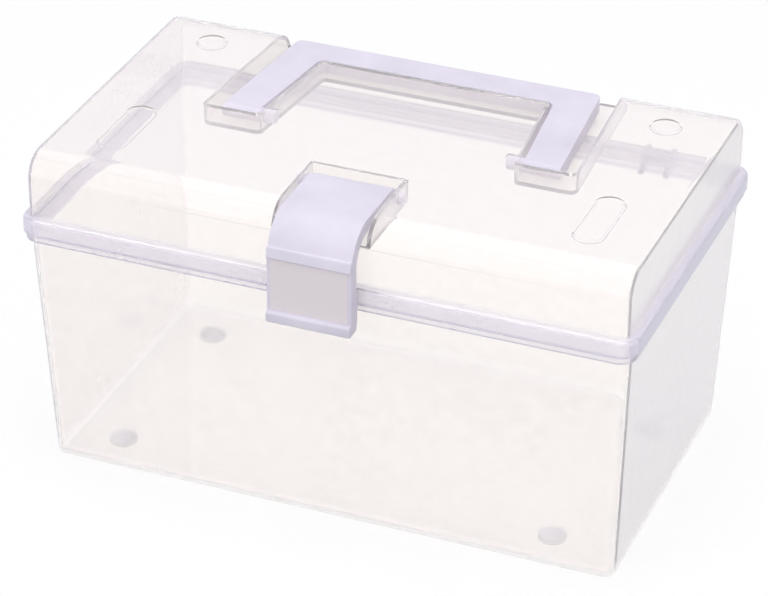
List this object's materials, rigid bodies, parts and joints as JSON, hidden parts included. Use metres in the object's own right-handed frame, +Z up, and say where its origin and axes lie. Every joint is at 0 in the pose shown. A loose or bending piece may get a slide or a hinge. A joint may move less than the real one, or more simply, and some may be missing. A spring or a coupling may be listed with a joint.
{
  "type": "photo keeper case",
  "caption": "Clear plastic storage case for photo prints, with a hinged domed lid, a carrying handle that folds into a recess in the top, and a swing-down front latch.",
  "frame": {"origin": "on the surface the case stands on, under the middle of its box", "axes": "+X along the front from left to right, +Y from the front to the hinged back, +Z up"},
  "size_m": [0.2, 0.1328, 0.1107],
  "materials": {
    "clear_bin": "clear moulded plastic, glossy, faintly warm",
    "clear_lid": "clear moulded plastic, glossy",
    "handle_plastic": "milky white translucent plastic, satin",
    "latch_plastic": "milky white translucent plastic, satin",
    "pin_plastic": "milky white plastic, satin",
    "bumper": "frosted soft bumper"
  },
  "bodies": {
    "bin": {"bin": "clear_bin", "hinge_pin_left": "pin_plastic", "hinge_pin_right": "pin_plastic", "foot_front_left": "bumper", "foot_front_right": "bumper", "foot_back_left": "bumper", "foot_back_right": "bumper"},
    "lid": {"lid": "clear_lid"},
    "handle": {"handle": "handle_plastic"},
    "latch": {"latch": "latch_plastic"}
  },
  "joints": [
    {"name": "lid_hinge", "type": "hinge", "parent": "bin", "child": "lid", "pos_m": [0, 0.0634, 0.08415], "axis": [-1, 0, 0], "range_deg": [0, 110]},
    {"name": "handle_swing", "type": "hinge", "parent": "lid", "child": "handle", "pos_m": [0, 0.0006, 0.10785], "axis": [1, 0, 0], "range_deg": [0, 110]},
    {"name": "latch_hinge", "type": "hinge", "parent": "lid", "child": "latch", "pos_m": [0, -0.0324, 0.10705], "axis": [-1, 0, 0], "range_deg": [0, 115]}
  ]
}
